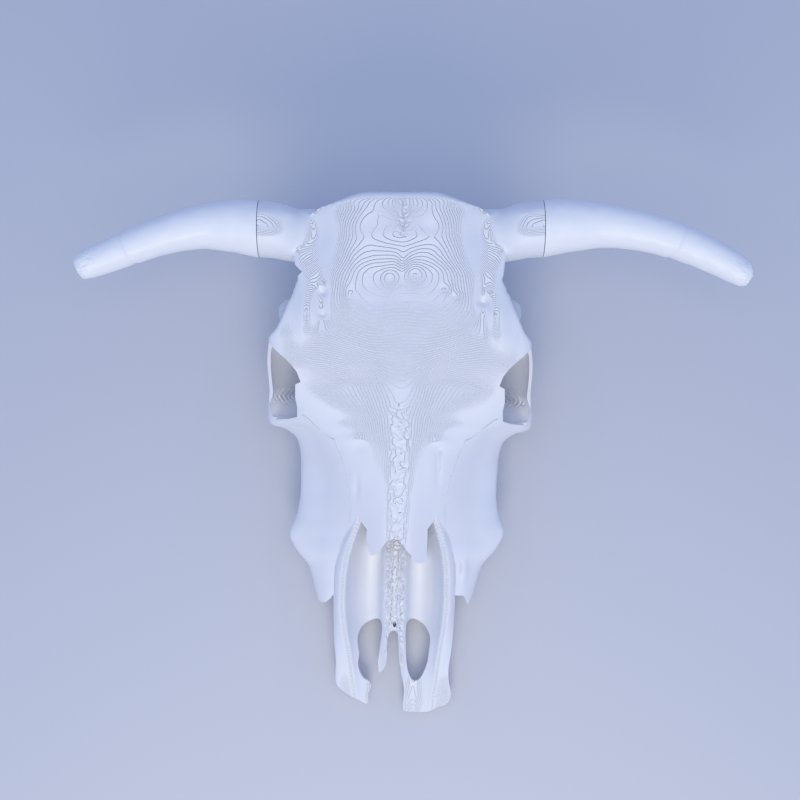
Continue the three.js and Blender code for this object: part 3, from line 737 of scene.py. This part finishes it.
for side in (-1, 1):
    combine(skull, beside_seam("past_seam", SEAM_X[side], side), "DIFFERENCE")
thin_out(skull, MOST_TRIANGLES)
laid_down(skull)
ground = [(-0.3, -0.3), (0.3, -0.3), (0.3, 0.3), (-0.3, 0.3)]
combine(skull, plate("under_floor", ground, -0.1, 0), "DIFFERENCE")
smooth_shaded(skull)

# ---------------------------------------------------------------------------------------------
# Printed plastic: white, satin, laid in layers 0.2 mm high. Each layer ends in a small rounded
# step, which shows as a contour line where the face is nearly level. The colour of each step's
# edge is painted lighter, a painted highlight where the step catches the light. The skull was
# printed lying flat, so its layers are level with the face.
# ---------------------------------------------------------------------------------------------
LAYER = 0.0002
RISER_WIDTH = 0.0004
RISER_LEAST, RISER_MOST = 0.05, 0.5  # of a layer's tread
STEEP, LEVEL = 0.92, 0.985  # cosines of the slopes between which the steps fade out
STEEP_SHARE = 0.06
FADE_HEIGHT = 0.0015
# painted highlight: how many times lighter the colour of the layer edges is painted
EDGE_HIGHLIGHT_PAINT = 1.2
TROUGH_TOP = 0.0272  # the trough of the nose and the sockets are smooth from here down
# white plastic, partly tinted cool as painted light that stands in for blue light bouncing onto it
SKULL_WHITE = (0.79, 0.81, 0.86)


def layer_group():
    """Steps in height along Z above `Lowest`: flat treads, and rounded risers RISER_WIDTH wide."""
    group = bpy.data.node_groups.new("printed layers", "ShaderNodeTree")
    inputs = {"Place": "Vector", "Normal": "Vector", "Layer height": "Float", "Lowest": "Float"}
    for name, kind in inputs.items():
        group.interface.new_socket(name, in_out="INPUT", socket_type="NodeSocket" + kind)
    for name in ("Height", "Edge"):
        group.interface.new_socket(name, in_out="OUTPUT", socket_type="NodeSocketFloat")
    nodes, links = group.nodes, group.links
    ins, outs = nodes.new("NodeGroupInput"), nodes.new("NodeGroupOutput")

    def put(value, socket):
        if isinstance(value, (int, float)):
            socket.default_value = value
        else:
            links.new(value, socket)

    def calc(operation, *values):
        node = nodes.new("ShaderNodeMath")
        node.operation = operation
        for socket, value in zip(node.inputs, values):
            put(value, socket)
        return node.outputs[0]

    def fade(value, low, high, to_low=0.0, to_high=1.0):
        node = nodes.new("ShaderNodeMapRange")
        node.interpolation_type = "SMOOTHSTEP"
        settings = {
            "Value": value, "From Min": low, "From Max": high, "To Min": to_low, "To Max": to_high,
        }
        for name, setting in settings.items():
            put(setting, node.inputs[name])
        return node.outputs[0]

    place, facing = nodes.new("ShaderNodeSeparateXYZ"), nodes.new("ShaderNodeSeparateXYZ")
    links.new(ins.outputs["Place"], place.inputs[0])
    links.new(ins.outputs["Normal"], facing.inputs[0])
    up, lowest, layer = place.outputs["Z"], ins.outputs["Lowest"], ins.outputs["Layer height"]
    level = calc("ABSOLUTE", facing.outputs["Z"])
    across = calc("SQRT", calc("SUBTRACT", 1.0, calc("MULTIPLY", level, level)))
    slope = calc("DIVIDE", across, calc("MAXIMUM", level, 0.05))
    riser = calc("MAXIMUM", calc("MULTIPLY", slope, RISER_WIDTH / LAYER), RISER_LEAST)
    riser = calc("MINIMUM", riser, RISER_MOST)
    part = calc("FRACT", calc("DIVIDE", up, layer))
    climb = fade(part, calc("SUBTRACT", 1.0, riser), 1.0)
    above = fade(up, lowest, calc("ADD", lowest, FADE_HEIGHT))
    shown = calc("MULTIPLY", fade(level, STEEP, LEVEL, STEEP_SHARE, 1.0), above)
    step = calc("MULTIPLY", calc("SUBTRACT", climb, part), layer)
    links.new(calc("MULTIPLY", step, shown), outs.inputs["Height"])
    middle = calc("SUBTRACT", 1.0, calc("MULTIPLY", riser, 0.5))
    away = calc("DIVIDE", calc("ABSOLUTE", calc("SUBTRACT", part, middle)), riser)
    # Edge marks the risers, where the material paints a lighter colour as a painted highlight
    links.new(calc("MULTIPLY", fade(away, 0.0, 0.6, 1.0, 0.0), shown), outs.inputs["Edge"])
    return group


printed_layers = layer_group()


def plastic(name, colour, lowest, turn, strength):
    material = bpy.data.materials.new(name)
    material.use_nodes = True
    nodes, links = material.node_tree.nodes, material.node_tree.links
    shader = nodes["Principled BSDF"]
    shader.inputs["Roughness"].default_value = 0.4
    place = nodes.new("ShaderNodeTexCoord")
    layers = nodes.new("ShaderNodeGroup")
    layers.node_tree = printed_layers
    layers.inputs["Layer height"].default_value = LAYER
    layers.inputs["Lowest"].default_value = lowest
    for source, goal in (("Object", "Place"), ("Normal", "Normal")):
        aim = nodes.new("ShaderNodeMapping")
        aim.vector_type = "TEXTURE"
        aim.inputs["Rotation"].default_value = turn
        links.new(place.outputs[source], aim.inputs["Vector"])
        links.new(aim.outputs[0], layers.inputs[goal])
    bump = nodes.new("ShaderNodeBump")
    bump.inputs["Strength"].default_value = strength
    bump.inputs["Distance"].default_value = 3
    links.new(layers.outputs["Height"], bump.inputs["Height"])
    links.new(bump.outputs[0], shader.inputs["Normal"])
    # painted highlight: the base colour is mixed towards a lighter white on the layer edges
    shade = nodes.new("ShaderNodeMix")
    shade.data_type = "RGBA"
    shade.inputs["A"].default_value = (*colour, 1)
    shade.inputs["B"].default_value = (*(min(1, c * EDGE_HIGHLIGHT_PAINT) for c in colour), 1)
    links.new(layers.outputs["Edge"], shade.inputs["Factor"])
    links.new(shade.outputs["Result"], shader.inputs["Base Color"])
    return material


skull_plastic = plastic("white printed plastic", SKULL_WHITE, TROUGH_TOP, (REST_TILT, 0, 0), 1.0)
skull.data.materials.clear()
skull.data.materials.append(skull_plastic)
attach(skull, "root")
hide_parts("skull")

# ---------------------------------------------------------------------------------------------
# Horn cores: two prints of their own, of the same plastic, turned on end for printing and so
# almost smooth. Each is glued to its stub, and its tip is broken off.
# ---------------------------------------------------------------------------------------------
HORN_STATIONS = {  # distance past the seam, y, z, radius
    1: [
        (-4, 69.8, -12.6, 11.9), (0, 70.1, -12.5, 11.6), (10, 71.2, -12, 10.9),
        (21, 71.3, -11.2, 9.5), (31, 70.3, -10.2, 8.6), (42, 68, -8.9, 7.9),
        (52, 65, -7.6, 7.5), (62, 60.8, -6, 7), (72, 55.6, -4.4, 6.4),
        (80.4, 50.3, -3, 5.2), (82.5, 48.95, -2.7, 3.6),
    ],
    -1: [
        (-4, 69.7, -12.6, 11.9), (0, 70, -12.5, 11.6), (10.5, 71.1, -12, 10.7),
        (20.5, 70.8, -11.2, 9.3), (30, 69.2, -10.2, 8.3), (39.5, 66.4, -8.9, 7.6),
        (49, 62.9, -7.6, 7.2), (58, 59, -6, 6.6), (66, 55.6, -4.5, 6.1),
        (71, 53.4, -3.6, 5), (72.6, 52.7, -3.3, 3.6),
    ],
}
HORN_RINGS, HORN_SIDES = 200, 120
SEAM_GAP = 0.3
TIP_BREAK = {  # what is missing at each tip, seen from above
    1: [(135.2, 62.4), (140.2, 54.6), (140.9, 51), (140.6, 44), (150, 44), (150, 62.4)],
    -1: [(122.5, 67), (131.6, 55.3), (127.6, 48.8), (140, 48.8), (140, 67)],
}
HORN_SWELL = 0.14
HORN_GRAIN, TIP_GRAIN = 0.03, 0.22
CREASE_AT = 52  # past the seam
CREASE_DEPTH = 0.3
# white plastic, partly tinted cool as painted light that stands in for blue light bouncing onto it
HORN_WHITE = (0.85, 0.87, 0.9)
HORN_PRINT_TURN = 1.45  # radians that the print was turned from lying to standing
EVERYWHERE = -1  # no height below which the layers stop


def weather(horn, seam, side):
    """Shallow dents, a crease across two thirds of the way out and a pitted tip."""
    points = read_points(horn)
    normals = np.empty(len(points) * 3)
    horn.data.vertices.foreach_get("normal", normals)
    out = side * (points[:, 0] - seam)
    tip = smoothstep(out, HORN_STATIONS[side][-1][0] - 12, HORN_STATIONS[side][-1][0] - 3)
    crease = np.exp(-((out - 0.5 * (points[:, 1] - 60) - CREASE_AT) ** 2))
    grain = HORN_GRAIN + TIP_GRAIN * tip
    swell = HORN_SWELL * roughness_at(points, 4.5) + grain * roughness_at(points, 0.9)
    write_points(horn, points + normals.reshape(-1, 3) * (swell - CREASE_DEPTH * crease)[:, None])


horn_plastic = plastic(
    "white printed plastic, smooth", HORN_WHITE, EVERYWHERE, (0, HORN_PRINT_TURN, 0), 0.2
)
for side, name in ((-1, "horn_left"), (1, "horn_right")):
    seam = SEAM_X[side] + side * SEAM_GAP
    stations = [(seam + side * out, y, z, radius) for out, y, z, radius in HORN_STATIONS[side]]
    horn = bar(name + "_core", stations, HORN_RINGS, HORN_SIDES)
    weather(horn, seam, side)
    combine(horn, beside_seam("trim", seam, -side), "DIFFERENCE")
    tip_break = [(side * x, y) for x, y in TIP_BREAK[side]]
    combine(horn, plate("tip_break", tip_break, -40, 20), "DIFFERENCE")
    laid_down(horn)
    smooth_shaded(horn)
    horn.data.materials.clear()
    horn.data.materials.append(horn_plastic)
    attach(horn, "root")
    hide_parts(name)

# ---------------------------------------------------------------------------------------------
# Floor, lights and camera. The floor is pale, the light soft and bluish with two warm lamps,
# and the camera looks straight at the face.
# ---------------------------------------------------------------------------------------------
FLOOR_REACH = 3
LAMP_COLOUR = (1, 0.9, 0.68)
SKY_COLOUR = (0.45, 0.6, 1, 1)
CAMERA_DISTANCE = 560
IMAGE_WIDTH = 320  # of the plane through the middle of the face
SENSOR = 36

corners = [(-FLOOR_REACH, -FLOOR_REACH, 0), (FLOOR_REACH, -FLOOR_REACH, 0),
           (FLOOR_REACH, FLOOR_REACH, 0), (-FLOOR_REACH, FLOOR_REACH, 0)]
floor_mesh = bpy.data.meshes.new("floor")
floor_mesh.from_pydata(corners, [], [(0, 1, 2, 3)])
floor = bpy.data.objects.new("floor", floor_mesh)
bpy.context.collection.objects.link(floor)
floor_paint = bpy.data.materials.new("pale floor")
floor_paint.use_nodes = True
paint = floor_paint.node_tree.nodes["Principled BSDF"].inputs
paint["Base Color"].default_value = (0.62, 0.63, 0.68, 1)
paint["Roughness"].default_value = 0.9
floor_mesh.materials.append(floor_paint)


def soft_light(name, place, size, power):
    """A round lamp that shines at the middle of the face from a place above it."""
    data = bpy.data.lights.new(name, "AREA")
    data.shape = "DISK"
    data.size = size
    data.energy = power
    data.color = LAMP_COLOUR
    lamp = bpy.data.objects.new(name, data)
    lamp.location = face_to_rest @ Vector(place)
    way = face_to_rest @ Vector((0, 0, 0)) - lamp.location
    lamp.rotation_euler = way.to_track_quat("-Z", "Y").to_euler()
    bpy.context.collection.objects.link(lamp)


soft_light("key_light", (0, -450, 500), 0.3, 1.7)
soft_light("front_light", (0, -60, 660), 0.5, 1)
world = bpy.data.worlds.new("room")
world.use_nodes = True
world.node_tree.nodes["Background"].inputs[0].default_value = SKY_COLOUR
world.node_tree.nodes["Background"].inputs[1].default_value = 0.76
bpy.context.scene.world = world
bpy.context.scene.view_settings.view_transform = "Standard"

camera_data = bpy.data.cameras.new("camera")
camera_data.sensor_width = SENSOR
camera_data.lens = SENSOR * CAMERA_DISTANCE / IMAGE_WIDTH
camera = bpy.data.objects.new("camera", camera_data)
camera.location = face_to_rest @ Vector((0, 0, CAMERA_DISTANCE))
camera.rotation_euler = (REST_TILT, 0, 0)
bpy.context.collection.objects.link(camera)
bpy.context.scene.camera = camera
